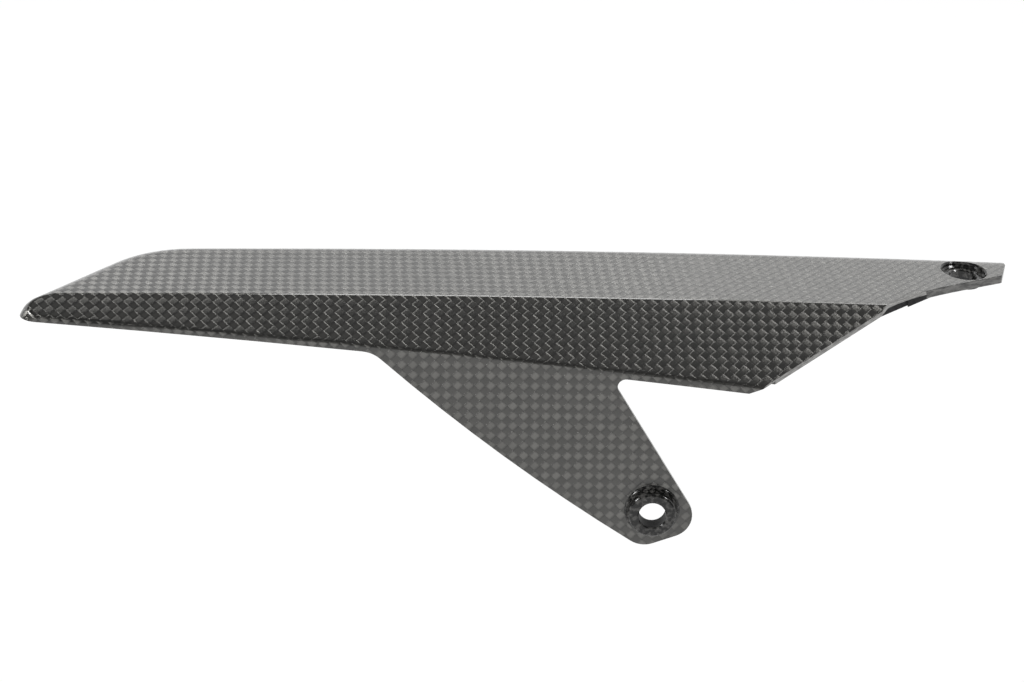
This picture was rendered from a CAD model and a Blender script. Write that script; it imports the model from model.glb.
"""Looks of a motorcycle chain guard: woven carbon laminate under a clear gloss coat."""

import logging
import math
from dataclasses import dataclass, field
from enum import Enum
from typing import Any

import bmesh
import bpy
import numpy as np
from mathutils import Matrix, Vector


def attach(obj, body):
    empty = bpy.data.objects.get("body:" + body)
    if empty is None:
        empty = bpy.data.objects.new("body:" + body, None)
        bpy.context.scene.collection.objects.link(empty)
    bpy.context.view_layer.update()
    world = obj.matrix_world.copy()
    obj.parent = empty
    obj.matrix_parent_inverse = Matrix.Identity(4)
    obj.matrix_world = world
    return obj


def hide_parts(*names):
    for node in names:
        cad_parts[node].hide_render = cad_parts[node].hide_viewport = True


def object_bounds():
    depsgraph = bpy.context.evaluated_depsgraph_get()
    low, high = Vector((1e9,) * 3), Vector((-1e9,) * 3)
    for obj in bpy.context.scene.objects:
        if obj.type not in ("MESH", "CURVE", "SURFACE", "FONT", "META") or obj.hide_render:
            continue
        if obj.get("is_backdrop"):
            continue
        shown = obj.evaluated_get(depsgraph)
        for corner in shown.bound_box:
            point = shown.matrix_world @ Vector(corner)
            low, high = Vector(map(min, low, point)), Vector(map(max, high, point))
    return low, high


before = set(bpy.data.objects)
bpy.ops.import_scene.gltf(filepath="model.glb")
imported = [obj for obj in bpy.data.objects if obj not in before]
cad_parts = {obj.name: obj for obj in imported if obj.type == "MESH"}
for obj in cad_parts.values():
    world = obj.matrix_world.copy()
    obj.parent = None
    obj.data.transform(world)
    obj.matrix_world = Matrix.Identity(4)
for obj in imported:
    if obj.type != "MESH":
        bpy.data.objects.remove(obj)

LOG = logging.getLogger("chain_guard_scene")
MM = 0.001
TINY = 1e-12
EDGE_SAMPLES = 4
CLOTH_MAP = "cloth"
NodeTree = bpy.types.NodeTree
Node = bpy.types.Node


class Family(Enum):
    """The two thread directions of the cloth, turned from the crease by these degrees."""

    WARP = 45.0
    WEFT = -45.0


class Face(Enum):
    """Which finish a facet of the guard takes."""

    CLOTH = 0
    EDGE = 1
    RESIN = 2
    INSIDE = 3
    BORE = 4
    EAR_EDGE = 5


def linear(hex_colour: str) -> tuple[float, float, float, float]:
    """Turns an sRGB hex colour into a linear colour with full alpha.

    Args:
        hex_colour: Six hex digits, such as "1c1c1e".

    Returns:
        Red, green, blue and alpha for a colour socket.
    """
    channels = [int(hex_colour[i:i + 2], 16) / 255 for i in (0, 2, 4)]
    parts = [c / 12.92 if c <= 0.04045 else ((c + 0.055) / 1.055) ** 2.4 for c in channels]
    return (*parts, 1.0)


def add(
    tree: NodeTree,
    kind: str,
    *feeds: Any,
    links: dict[Any, Any] | None = None,
    **settings: Any,
) -> Node:
    """Adds one node with its settings and links.

    Args:
        tree: Node tree that gets the node.
        kind: Node type, without the ShaderNode prefix.
        feeds: What feeds the first inputs, in their order.
        links: What feeds further inputs, by name or number.
        settings: Node properties to set before the links.

    Returns:
        The new node. Where a node feeds another one, its first output is taken.
    """
    node = tree.nodes.new("ShaderNode" + kind)
    for name, value in settings.items():
        setattr(node, name, value)
    for name, feed in (*enumerate(feeds), *(links or {}).items()):
        source = feed.outputs[0] if isinstance(feed, bpy.types.Node) else feed
        if isinstance(source, bpy.types.NodeSocket):
            tree.links.new(source, node.inputs[name])
        else:
            node.inputs[name].default_value = source
    return node


def new_material(name: str) -> tuple[bpy.types.Material, NodeTree]:
    """Makes a material with an empty node tree.

    Args:
        name: The material's name.

    Returns:
        The material and its node tree.
    """
    material = bpy.data.materials.new(name)
    material.use_nodes = True
    material.node_tree.nodes.clear()
    return material, material.node_tree


@dataclass(frozen=True)
class PhotoFrame:
    """The photograph's frame and the viewpoint that fits the guard's outline in it."""

    width_px: int = 1024
    height_px: int = 682
    focal_px: float = 2250.0
    sensor_mm: float = 36.0
    elevation: float = 23.5
    roll: float = 2.75
    bore_px: tuple[float, float] = (652.4, 516.0)
    bore_mm: tuple[float, float, float] = (0.0, -4.8, 0.0)
    depth_mm: float = 818.0
    clip: tuple[float, float] = (0.05, 50.0)

    def turn(self) -> Matrix:
        """Turn of a camera that looks along +Y and down, rolled about its view."""
        tilt = Matrix.Rotation(math.radians(90 - self.elevation), 4, "X")
        return tilt @ Matrix.Rotation(math.radians(self.roll), 4, "Z")

    def place(self) -> Vector:
        """Works out the camera's position.

        Returns:
            The position in metres, from the bore's pixel and its depth.
        """
        across = (self.bore_px[0] - self.width_px / 2) / self.focal_px
        down = (self.bore_px[1] - self.height_px / 2) / self.focal_px
        ray = self.turn().to_3x3() @ Vector((across, -down, -1.0))
        return (Vector(self.bore_mm) - ray * self.depth_mm) * MM

    def build(self) -> bpy.types.Object:
        """Makes the camera and sets it as the scene's.

        Returns:
            The camera object.
        """
        data = bpy.data.cameras.new("photo_camera")
        data.sensor_width = self.sensor_mm
        data.lens = self.focal_px / self.width_px * self.sensor_mm
        data.clip_start, data.clip_end = self.clip
        camera = bpy.data.objects.new("photo_camera", data)
        camera.matrix_world = Matrix.Translation(self.place()) @ self.turn()
        bpy.context.scene.collection.objects.link(camera)
        bpy.context.scene.camera = camera
        return camera


@dataclass(frozen=True)
class Softbox:
    """A rectangular studio lamp that faces the guard: degrees, metres and watts.

    Azimuth runs from the back of the guard to its right.
    """

    name: str
    azimuth: float
    elevation: float
    distance: float
    size: tuple[float, float]
    watts: float

    def build(self, target: Vector) -> bpy.types.Object:
        """Makes the lamp.

        Args:
            target: Point that the lamp faces.

        Returns:
            The lamp object.
        """
        data = bpy.data.lights.new(self.name, "AREA")
        data.shape = "RECTANGLE"
        data.size, data.size_y = self.size
        data.energy = self.watts
        turn, rise = math.radians(self.azimuth), math.radians(self.elevation)
        level = math.cos(rise)
        away = Vector((math.sin(turn) * level, math.cos(turn) * level, math.sin(rise)))
        lamp = bpy.data.objects.new(self.name, data)
        lamp.location = target + away * self.distance
        lamp.rotation_euler = away.to_track_quat("Z", "Y").to_euler()
        bpy.context.scene.collection.objects.link(lamp)
        return lamp


@dataclass
class Studio:
    """Pale floor, white sweep behind the guard, dim room above it and the lamps.

    The sweep reaches higher on the right, and the room grows lighter towards the ceiling. The
    angles are degrees above the horizon.
    """

    floor_below_mm: float = 90.0
    floor_half: float = 12.0
    floor_colour: str = "f2f2f2"
    floor_glow: float = 1.04
    floor_glow_share: float = 0.9
    floor_mirror: float = 0.8
    sweep_top: float = 40.0
    sweep_fade: float = 14.0
    sweep_lean: float = 26.0
    sweep_depth: tuple[float, float] = (-0.05, 0.35)
    sweep_level: float = 1.0
    room_level: float = 0.16
    ceiling_level: float = 0.33
    ceiling_from: float = 50.0
    ceiling_full: float = 80.0
    lamps: tuple[Softbox, ...] = (
        Softbox("high_back_softbox", 1.0, 58.0, 1.6, (0.5, 0.7), 7.0),
        Softbox("left_front_softbox", -107.0, 28.0, 1.5, (0.45, 0.35), 12.0),
        Softbox("right_softbox", 95.0, 40.0, 1.4, (0.3, 0.2), 4.0),
        Softbox("right_back_softbox", 29.0, 45.0, 1.6, (0.4, 0.3), 2.0),
    )

    def floor_finish(self) -> bpy.types.Material:
        """Matt white paper that reads as white and still takes a shadow.

        Returns:
            The floor's material.
        """
        material, tree = new_material("matt_white_paper")
        path = add(tree, "LightPath").outputs
        mirrored = add(tree, "Math", path["Is Glossy Ray"], self.floor_mirror, operation="MULTIPLY")
        seen = add(tree, "Math", path["Is Camera Ray"], mirrored, operation="MAXIMUM")
        seen = add(tree, "Math", seen, path["Is Transmission Ray"], operation="MAXIMUM")
        share = add(tree, "Math", seen, self.floor_glow_share, operation="MULTIPLY")
        paper = add(tree, "BsdfDiffuse", linear(self.floor_colour))
        white = add(tree, "Emission", linear("ffffff"), self.floor_glow)
        add(tree, "OutputMaterial", add(tree, "MixShader", share, paper, white))
        return material

    def build_floor(self, lowest: float) -> bpy.types.Object:
        """Lays the floor below the guard.

        Args:
            lowest: Lowest height of the guard, in metres.

        Returns:
            The floor object.
        """
        half, level = self.floor_half, lowest - self.floor_below_mm * MM
        corners = [(x * half, y * half, level) for x, y in ((-1, -1), (1, -1), (1, 1), (-1, 1))]
        mesh = bpy.data.meshes.new("floor")
        mesh.from_pydata(corners, [], [(0, 1, 2, 3)])
        mesh.materials.append(self.floor_finish())
        floor = bpy.data.objects.new("floor", mesh)
        bpy.context.scene.collection.objects.link(floor)
        floor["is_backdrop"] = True
        return floor

    def build_room(self) -> None:
        """Sets the world: white to the camera, and a white sweep in a dim room to the guard."""
        world = bpy.data.worlds.new("studio_room")
        bpy.context.scene.world = world
        world.use_nodes = True
        tree = world.node_tree
        tree.nodes.clear()
        way = add(tree, "SeparateXYZ", add(tree, "TexCoord").outputs["Generated"]).outputs
        rise = add(tree, "Math", way["Z"], operation="ARCSINE")
        lean = -math.radians(self.sweep_lean)
        leaning = add(tree, "Math", way["X"], lean, rise, operation="MULTIPLY_ADD")
        low, high = (math.radians(self.sweep_top + k * self.sweep_fade / 2) for k in (-1, 1))
        below = add(
            tree, "MapRange", leaning, low, high, 1.0, 0.0, interpolation_type="SMOOTHSTEP"
        )
        behind = add(
            tree, "MapRange", way["Y"], *self.sweep_depth, 0.0, 1.0, interpolation_type="SMOOTHSTEP"
        )
        sweep = add(tree, "Math", below, behind, operation="MULTIPLY")
        start, full = math.radians(self.ceiling_from), math.radians(self.ceiling_full)
        levels = (self.room_level, self.ceiling_level)
        room = add(
            tree, "MapRange", rise, start, full, *levels, interpolation_type="SMOOTHSTEP"
        )
        level = add(tree, "MapRange", sweep, 0.0, 1.0, room, self.sweep_level)
        path = add(tree, "LightPath").outputs
        seen = add(tree, "Math", level, path["Is Camera Ray"], operation="MAXIMUM")
        add(tree, "OutputWorld", add(tree, "Background", linear("ffffff"), seen))

    def build(self, lowest: float, centre: Vector) -> None:
        """Builds the whole studio.

        Args:
            lowest: Lowest height of the guard, in metres.
            centre: Middle of the guard, which the lamps face.
        """
        self.build_floor(lowest)
        self.build_room()
        for lamp in self.lamps:
            lamp.build(centre)
            LOG.info("lamp %s", lamp.name)


@dataclass(frozen=True)
class WovenCarbon:
    """Plain-woven carbon cloth in epoxy, moulded against a polished tool.

    Each thread is a flat bundle of straight fibres, so it shines across its fibres and stays dark
    along them. That is why one thread direction can be light where the other is dark, and why the
    light sits in short dashes where a thread dives under its neighbour. The smooth coat over it
    adds a clear mirror of the room. Single fibres are too fine to show and are left to the shine.
    """

    name: str = "woven_carbon_clear_coat"
    thread_mm: float = 2.8
    crimp_mm: float = 0.11
    crown_mm: float = 0.08
    crown_power: float = 2.6
    flatness: float = 3.0
    sway_mm: float = 0.25
    sway_every_mm: float = 25.0
    fibre: str = "686764"
    gap: str = "2b2b2a"
    weft_share: float = 0.54
    swell_mm: float = 0.65
    change_mm: float = 0.004
    edge_round_mm: float = 0.1
    uneven: float = 0.22
    metallic: float = 1.0
    roughness: float = 0.31
    anisotropy: float = 1.0
    coat: float = 1.0
    coat_ior: float = 1.5
    coat_roughness: float = 0.04

    def thread(self, tree: NodeTree, along: Node, across: Node, sign: float) -> Node:
        """Height of the threads of one direction, in millimetres.

        Args:
            tree: Node tree that gets the nodes.
            along: Place along the threads, in thread widths.
            across: Place across the threads, in thread widths.
            sign: 1 or -1, which opposes the two directions at a crossing.

        Returns:
            The height, flat at the top of each crossing and steep where the thread dives.
        """
        index = add(tree, "Math", across, operation="FLOOR")
        part = add(tree, "Math", across, index, operation="SUBTRACT")
        inside = add(tree, "Math", part, 2.0, -1.0, operation="MULTIPLY_ADD")
        middle = add(tree, "Math", along, 0.5, operation="SUBTRACT")
        phase = add(tree, "Math", middle, index, operation="ADD")
        angle = add(tree, "Math", phase, math.pi, operation="MULTIPLY")
        wave = add(tree, "Math", angle, operation="COSINE")
        dive = add(tree, "Math", wave, -sign, 1.0, operation="MULTIPLY_ADD")
        fall = add(tree, "Math", dive, self.flatness, operation="POWER")
        aside = add(tree, "Math", inside, operation="ABSOLUTE")
        crown = add(tree, "Math", aside, self.crown_power, operation="POWER")
        rounded = add(tree, "Math", crown, -self.crown_mm, operation="MULTIPLY")
        return add(tree, "Math", fall, -self.crimp_mm, rounded, operation="MULTIPLY_ADD")

    def cloth_axes(self, tree: NodeTree) -> tuple[Node, Node]:
        """Places along the warp and along the weft, which sway a little as real threads do.

        Args:
            tree: Node tree that gets the nodes.

        Returns:
            The two places, in thread widths.
        """
        cloth = add(tree, "UVMap", uv_map=CLOTH_MAP)
        scale = self.thread_mm / self.sway_every_mm
        sway = add(tree, "TexNoise", links={"Vector": cloth, "Scale": scale, "Detail": 1.0})
        centred = add(
            tree, "VectorMath", sway.outputs["Color"], (0.5, 0.5, 0.5), operation="SUBTRACT"
        )
        reach = (2 * self.sway_mm / self.thread_mm,) * 3
        moved = add(tree, "VectorMath", centred, reach, cloth, operation="MULTIPLY_ADD")
        place = add(tree, "SeparateXYZ", moved).outputs
        s = add(tree, "Math", place["X"], math.sqrt(0.5), operation="MULTIPLY")
        t = add(tree, "Math", place["Y"], math.sqrt(0.5), operation="MULTIPLY")
        warp = add(tree, "Math", s, t, operation="ADD")
        weft = add(tree, "Math", t, s, operation="SUBTRACT")
        return warp, weft

    def colour(self, tree: NodeTree, cell: Node, lead: Node) -> Node:
        """Colour of the fibres, uneven from crossing to crossing and darker on the weft.

        Args:
            tree: Node tree that gets the nodes.
            cell: Number of the crossing.
            lead: How far the warp stands over the weft, in millimetres.

        Returns:
            The mixed colour.
        """
        chance = add(tree, "TexWhiteNoise", links={"Vector": cell}, noise_dimensions="2D")
        worn = add(
            tree, "Math", chance.outputs["Value"], -self.uneven, 1.0, operation="MULTIPLY_ADD"
        )
        levels = (self.weft_share, 1.0)
        swell = add(
            tree, "MapRange", lead, 0.0, self.swell_mm, *levels, interpolation_type="SMOOTHSTEP"
        )
        shade = add(tree, "Math", worn, swell, operation="MULTIPLY")
        colours = {6: linear(self.gap), 7: linear(self.fibre)}
        return add(tree, "Mix", shade, links=colours, data_type="RGBA")

    def build(self) -> bpy.types.Material:
        """Makes the material.

        Returns:
            The woven carbon material, which reads the cloth map in thread widths.
        """
        material, tree = new_material(self.name)
        u, v = self.cloth_axes(tree)
        warp = self.thread(tree, u, v, 1.0)
        weft = self.thread(tree, v, u, -1.0)
        lead = add(tree, "Math", warp, weft, operation="SUBTRACT")
        height = add(tree, "Math", warp, weft, operation="MAXIMUM")
        skin = add(tree, "Bevel", self.edge_round_mm * MM, samples=EDGE_SAMPLES)
        relief = add(tree, "Bump", links={"Strength": 1.0, "Distance": MM, "Height": height})
        column = add(tree, "Math", u, operation="FLOOR")
        row = add(tree, "Math", v, operation="FLOOR")
        colour = self.colour(tree, add(tree, "CombineXYZ", column, row), lead)
        low, high = ((family.value + 90) / 360 for family in (Family.WEFT, Family.WARP))
        change = (-self.change_mm, self.change_mm)
        is_warp = add(
            tree, "MapRange", lead, *change, 0.0, 1.0, interpolation_type="SMOOTHSTEP"
        )
        turn = add(tree, "MapRange", is_warp, 0.0, 1.0, low, high)
        run = add(tree, "Tangent", direction_type="UV_MAP", uv_map=CLOTH_MAP)
        sockets = {
            "Base Color": colour.outputs[2],
            "Metallic": self.metallic,
            "Roughness": self.roughness,
            "Anisotropic": self.anisotropy,
            "Anisotropic Rotation": turn,
            "Tangent": run,
            "Normal": relief,
            "Coat Weight": self.coat,
            "Coat IOR": self.coat_ior,
            "Coat Roughness": self.coat_roughness,
            "Coat Normal": skin,
        }
        add(tree, "OutputMaterial", add(tree, "BsdfPrincipled", links=sockets))
        return material


@dataclass(frozen=True)
class LaminateEdge:
    """Cut edge of the laminate, sanded and sealed, so its plies show as fine pale lines."""

    name: str = "sanded_laminate_edge"
    ply_mm: float = 0.4
    streak_mm: float = 4.0
    ply_step: tuple[float, float] = (0.35, 0.65)
    resin: str = "7c7b79"
    ply: str = "bdbcb9"
    roughness: float = 0.3
    specular: float = 0.5
    coat: float = 0.5
    edge_round_mm: float = 0.7

    def build(self) -> bpy.types.Material:
        """Makes the material.

        Returns:
            The edge material, whose map gives the run and the depth in millimetres.
        """
        material, tree = new_material(self.name)
        cloth = add(tree, "UVMap", uv_map=CLOTH_MAP)
        scale = (1 / self.streak_mm, 1 / self.ply_mm, 1.0)
        stretched = add(tree, "Mapping", links={"Vector": cloth, "Scale": scale})
        grain = add(tree, "TexNoise", links={"Vector": stretched, "Scale": 1.0, "Detail": 2.0})
        plies = add(
            tree,
            "MapRange",
            grain.outputs["Fac"],
            *self.ply_step,
            0.0,
            1.0,
            interpolation_type="SMOOTHSTEP",
        )
        skin = add(tree, "Bevel", self.edge_round_mm * MM, samples=EDGE_SAMPLES)
        colours = {6: linear(self.resin), 7: linear(self.ply)}
        colour = add(tree, "Mix", plies, links=colours, data_type="RGBA")
        sockets = {
            "Base Color": colour.outputs[2],
            "Roughness": self.roughness,
            "Specular IOR Level": self.specular,
            "Coat Weight": self.coat,
            "Normal": skin,
            "Coat Normal": skin,
        }
        add(tree, "OutputMaterial", add(tree, "BsdfPrincipled", links=sockets))
        return material


@dataclass(frozen=True)
class BlackEpoxy:
    """Resin-rich black moulding of the boss and the seat: wet-looking, with grey fibre clouds."""

    mottle_mm: float = 1.5
    mottle_step: tuple[float, float] = (0.42, 0.68)
    dark: str = "0c0c0c"
    light: str = "5a5957"
    roughness: float = 0.16

    def build(self) -> bpy.types.Material:
        """Makes the material.

        Returns:
            The black epoxy material, which reads object coordinates.
        """
        material, tree = new_material("black_epoxy_moulding")
        place = add(tree, "TexCoord").outputs["Object"]
        scale = 1 / (self.mottle_mm * MM)
        cloud = add(tree, "TexNoise", links={"Vector": place, "Scale": scale, "Detail": 2.0})
        mottle = add(
            tree,
            "MapRange",
            cloud.outputs["Fac"],
            *self.mottle_step,
            0.0,
            1.0,
            interpolation_type="SMOOTHSTEP",
        )
        colours = {6: linear(self.dark), 7: linear(self.light)}
        colour = add(tree, "Mix", mottle, links=colours, data_type="RGBA")
        sockets = {"Base Color": colour.outputs[2], "Roughness": self.roughness}
        add(tree, "OutputMaterial", add(tree, "BsdfPrincipled", links=sockets))
        return material


@dataclass
class ChainGuard:
    """The moulded shell, whose cloth runs unbroken over its folds. Lengths are millimetres."""

    node: str = "chain_guard"
    body: str = "root"
    slot: str = "carbon_laminate"
    top_z: float = 70.92
    top_slope: float = 0.01286
    top_lean: float = 2.5
    top_round: float = 10.5
    fold_z: float = 53.9
    fold_slope: float = 0.0695
    side_slope: float = 33.5
    far_y: float = 78.2
    far_slope: float = 0.098
    spine_share: float = 0.42
    spine_z: float = 50.0
    boss_reach: float = 11.2
    bore_radius: float = 5.0
    bore_margin: float = 0.02
    seat_at: tuple[float, float, float] = (117.2, 72.203, 71.584)
    seat_reach: float = 8.95
    sunk: float = 0.03
    tail_from_x: float = 20.0
    ear_from_x: float = 99.9
    trim_lean: float = 0.015
    trim_rise: float = 0.6
    tail_turn: float = 0.2
    flat_likeness: float = 0.82
    top_likeness: float = 0.9985
    upright_bend: float = 1.4
    sharp_angle: float = 35.0
    merge_reach: float = 0.002
    cloth: WovenCarbon = field(default_factory=WovenCarbon)
    edge: LaminateEdge = field(default_factory=LaminateEdge)
    resin: BlackEpoxy = field(default_factory=BlackEpoxy)
    inside: WovenCarbon = WovenCarbon(
        name="woven_carbon_bag_side",
        fibre="48484a",
        roughness=0.45,
        coat=0.25,
        coat_roughness=0.3,
    )
    bore: LaminateEdge = LaminateEdge(
        name="drilled_laminate",
        ply_mm=0.9,
        resin="0a0a0a",
        ply="2e2e2e",
        roughness=0.5,
        specular=0.15,
        coat=0.0,
    )
    ear_edge: LaminateEdge = LaminateEdge(
        name="moulded_ear_edge",
        ply_mm=1.4,
        resin="353433",
        ply="7b7a77",
        roughness=0.2,
    )

    def __post_init__(self) -> None:
        """Works out the faces' normals and the directions of the cloth."""
        lean, side = math.tan(math.radians(self.top_lean)), math.radians(self.side_slope)
        self.up = self.unit((self.top_slope, -lean, 1.0))
        slant = (self.fold_slope * math.cos(side), -math.sin(side), math.cos(side))
        self.out = self.unit(slant)
        self.front = np.array((0.0, -1.0, 0.0))
        self.crease = self.unit(self.along_crease())
        crease_y = (self.top_z - self.fold_z) / (math.tan(side) - lean)
        self.crease_at = np.array((0.0, crease_y, self.top_z + lean * crease_y))
        self.fold_at = np.array((0.0, 0.0, self.fold_z))

    @staticmethod
    def unit(vector: Any) -> np.ndarray:
        """The vector at length 1."""
        array = np.asarray(vector, float)
        return array / np.linalg.norm(array)

    def along_crease(self) -> np.ndarray:
        """Direction of the crease, from the nose to the tail."""
        direction = np.cross(self.up, self.out)
        return direction if direction[0] > 0 else -direction

    def laid_flat(self, points: np.ndarray, normal: np.ndarray) -> np.ndarray:
        """Cloth place of points on a flat face that meets the crease.

        Args:
            points: Points in millimetres.
            normal: Normal of the face.

        Returns:
            Millimetres along and across the crease.
        """
        away = points - self.crease_at
        across = np.cross(normal, self.crease)
        return np.stack([away @ self.crease, away @ across], axis=-1)

    def on_top(self, points: np.ndarray) -> np.ndarray:
        """Cloth place of points on the top face."""
        return self.laid_flat(points, self.up)

    def on_slope(self, points: np.ndarray) -> np.ndarray:
        """Cloth place of points on the outer slope."""
        return self.laid_flat(points, self.out)

    def on_flange(self, points: np.ndarray) -> np.ndarray:
        """Cloth place of points on the flange and the bracket.

        Args:
            points: Points in millimetres.

        Returns:
            Cloth places, with the flange turned up about the fold into the slope's plane.
        """
        fold = self.unit((1.0, 0.0, -self.fold_slope))
        down = self.unit((-self.fold_slope, 0.0, -1.0))
        outward = -np.cross(self.out, fold)
        away = points - self.fold_at
        laid = self.fold_at + np.outer(away @ fold, fold) + np.outer(away @ down, outward)
        return self.on_slope(laid)

    def on_wall(self, points: np.ndarray, normals: np.ndarray) -> np.ndarray:
        """Cloth place of points on the rounded edge, the far wall and the nose.

        Args:
            points: Points in millimetres.
            normals: Outward normals at the points.

        Returns:
            Cloth places, measured on from the top face round the edge.
        """
        flat = normals * (1, 1, 0)
        flat /= np.maximum(np.linalg.norm(flat, axis=1, keepdims=True), TINY)
        bend = np.arccos(np.clip(normals @ self.up, -1, 1))
        bend = np.minimum(bend, math.pi / 2)
        start = points - flat * (self.top_round * np.sin(bend))[:, None]
        drop = np.maximum(self.top_height(start) - points[:, 2] - self.top_round, 0)
        run = self.top_round * bend + np.where(bend > self.upright_bend, drop, 0)
        laid = start * (1, 1, 0) + flat * run[:, None]
        laid[:, 2] = self.top_height(laid)
        return self.on_top(laid)

    def top_height(self, points: np.ndarray) -> np.ndarray:
        """Height of the flat top face over points."""
        lean = math.tan(math.radians(self.top_lean))
        return self.top_z - self.top_slope * points[:, 0] + lean * points[:, 1]

    def cloth_places(
        self, corners: np.ndarray, normals: np.ndarray, outside: np.ndarray
    ) -> np.ndarray:
        """Cloth places of every corner of every facet.

        Args:
            corners: Facet corners in millimetres, facet by corner by axis.
            normals: Facet normals.
            outside: Whether each facet is on the outer side.

        Returns:
            Cloth places in millimetres, facet by corner.
        """
        outward = np.where(outside[:, None], normals, -normals)
        likeness = np.stack([outward @ face for face in (self.up, self.out, self.front)], axis=1)
        best, most = likeness.argmax(axis=1), likeness.max(axis=1)
        wall = (most < self.flat_likeness) | ((best == 0) & (most < self.top_likeness))
        places = np.zeros((len(corners), 3, 2))
        for k, flat_place in enumerate((self.on_top, self.on_slope, self.on_flange)):
            pick = (best == k) & ~wall
            places[pick] = flat_place(corners[pick].reshape(-1, 3)).reshape(-1, 3, 2)
        spread = np.repeat(outward[wall], 3, axis=0)
        places[wall] = self.on_wall(corners[wall].reshape(-1, 3), spread).reshape(-1, 3, 2)
        return places

    def edge_places(self, corners: np.ndarray) -> np.ndarray:
        """Places of corners on the cut edges.

        Args:
            corners: Facet corners in millimetres.

        Returns:
            Run along the edge and depth below the outer skin, in millimetres.
        """
        below = self.crease_at - corners
        depth = np.minimum(below @ self.up, below @ self.out)
        depth = np.minimum(depth, corners[..., 1])
        return np.stack([corners[..., 0] + corners[..., 2], depth], axis=-1)

    def finishes(
        self, centres: np.ndarray, normals: np.ndarray, outside: np.ndarray
    ) -> np.ndarray:
        """Which finish each facet takes.

        Args:
            centres: Middles of the facets, in millimetres.
            normals: Normals of the facets.
            outside: Whether each facet is on the outer side.

        Returns:
            The value of Face for each facet.
        """
        x, y, z = centres.T
        trim = (np.abs(normals[:, 1]) < self.trim_lean) & (normals[:, 2] < self.trim_rise)
        tail = (np.abs(normals[:, 2]) < self.tail_turn) & (normals[:, 0] > self.tail_turn)
        cut = trim | (tail & (x > self.tail_from_x))
        from_bore = np.hypot(x, z)
        boss = (from_bore < self.boss_reach) & (y < -self.sunk)
        away = centres - self.seat_at
        height = away @ self.up
        from_seat = np.linalg.norm(away - np.outer(height, self.up), axis=1)
        seat = (from_seat < self.seat_reach) & (height < -self.sunk)
        kinds = np.where(outside, Face.CLOTH.value, Face.INSIDE.value)
        kinds[cut] = Face.EDGE.value
        kinds[cut & (x > self.ear_from_x)] = Face.EAR_EDGE.value
        kinds[boss | seat] = Face.RESIN.value
        kinds[from_bore < self.bore_radius + self.bore_margin] = Face.BORE.value
        return kinds

    def is_outside(self, centres: np.ndarray, normals: np.ndarray) -> np.ndarray:
        """Whether facets face away from a line that runs inside the shell.

        Args:
            centres: Middles of the facets, in millimetres.
            normals: Normals of the facets.

        Returns:
            True for each facet of the outer side.
        """
        spine = centres.copy()
        spine[:, 1] = self.spine_share * (self.far_y + self.far_slope * centres[:, 0])
        spine[:, 2] = self.spine_z
        return ((centres - spine) * normals).sum(axis=1) > 0

    def dress(self, mesh: bpy.types.Mesh) -> int:
        """Gives a merged mesh of triangles its cloth map, its finishes and its corner normals.

        Args:
            mesh: Mesh in metres.

        Returns:
            How many facets are cut edges.
        """
        count = len(mesh.polygons)
        spots = np.zeros(len(mesh.vertices) * 3)
        mesh.vertices.foreach_get("co", spots)
        index = np.zeros(count * 3, int)
        mesh.polygons.foreach_get("vertices", index)
        normals = np.zeros(count * 3)
        mesh.polygons.foreach_get("normal", normals)
        normals = normals.reshape(-1, 3)
        corners = spots.reshape(-1, 3)[index].reshape(count, 3, 3) / MM
        centres = corners.mean(axis=1)
        outside = self.is_outside(centres, normals)
        kinds = self.finishes(centres, normals, outside)
        places = self.cloth_places(corners, normals, outside) / self.cloth.thread_mm
        edges = np.isin(kinds, (Face.EDGE.value, Face.BORE.value, Face.EAR_EDGE.value))
        places[edges] = self.edge_places(corners[edges])
        layer = mesh.uv_layers.new(name=CLOTH_MAP)
        layer.data.foreach_set("uv", places.astype(np.float32).ravel())
        mesh.materials.clear()
        for finish in (self.cloth, self.edge, self.resin, self.inside, self.bore, self.ear_edge):
            mesh.materials.append(finish.build())
        mesh.polygons.foreach_set("material_index", kinds.astype(np.int32))
        self.smooth(mesh, index, normals)
        return int(edges.sum())

    def build(self) -> bpy.types.Object:
        """Makes a merged copy of the shell that carries the cloth map and the finishes.

        Returns:
            The dressed guard.
        """
        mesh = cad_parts[self.node].data.copy()
        mesh.name = "woven_guard"
        guard = bpy.data.objects.new("woven_guard", mesh)
        bpy.context.scene.collection.objects.link(guard)
        self.merge(mesh)
        edges = self.dress(mesh)
        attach(guard, self.body)
        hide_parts(self.node)
        LOG.info("guard with %d facets, %d of them cut edges", len(mesh.polygons), edges)
        return guard

    def merge(self, mesh: bpy.types.Mesh) -> None:
        """Joins the loose facets of a CAD mesh at their shared corners.

        Args:
            mesh: Mesh in metres.
        """
        work = bmesh.new()
        work.from_mesh(mesh)
        bmesh.ops.remove_doubles(work, verts=work.verts, dist=self.merge_reach * MM)
        work.to_mesh(mesh)
        work.free()

    def smooth(self, mesh: bpy.types.Mesh, index: np.ndarray, normals: np.ndarray) -> None:
        """Shades the rounds smooth and keeps the flats flat and the edges sharp.

        Args:
            mesh: Mesh of triangles that gets the corner normals.
            index: Vertex of each corner.
            normals: Normal of each facet.
        """
        areas = np.zeros(len(normals))
        mesh.polygons.foreach_get("area", areas)
        around = [[] for _ in mesh.vertices]
        for corner, vertex in enumerate(index):
            around[vertex].append(corner // 3)
        bent = np.zeros((len(index), 3))
        least = math.cos(math.radians(self.sharp_angle))
        for corner, vertex in enumerate(index):
            own = normals[corner // 3]
            near = np.array([facet for facet in around[vertex] if normals[facet] @ own > least])
            bent[corner] = areas[near] @ normals[near]
        bent /= np.maximum(np.linalg.norm(bent, axis=1, keepdims=True), TINY)
        mesh.shade_smooth()
        mesh.normals_split_custom_set(bent.tolist())


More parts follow.
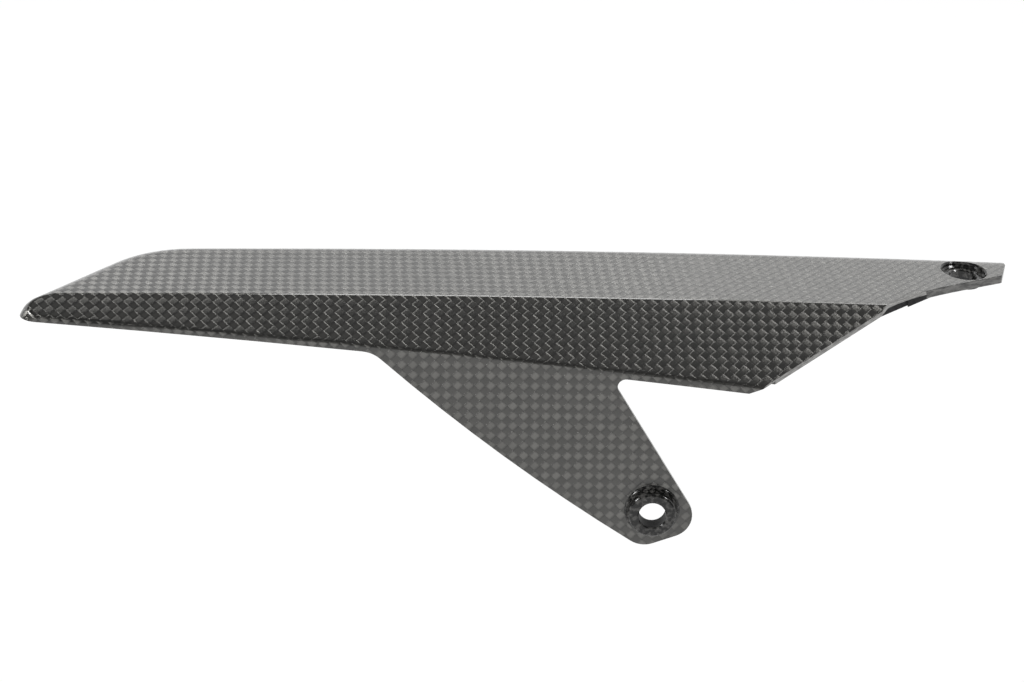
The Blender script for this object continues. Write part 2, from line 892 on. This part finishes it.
def main() -> None:
    """Builds the guard, the studio and the camera."""
    logging.basicConfig(level=logging.INFO)
    bpy.context.scene.view_settings.view_transform = "Standard"
    cad_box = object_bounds()
    ChainGuard().build()
    Studio().build(cad_box[0].z, (cad_box[0] + cad_box[1]) / 2)
    PhotoFrame().build()


if __name__ == "__main__":
    main()
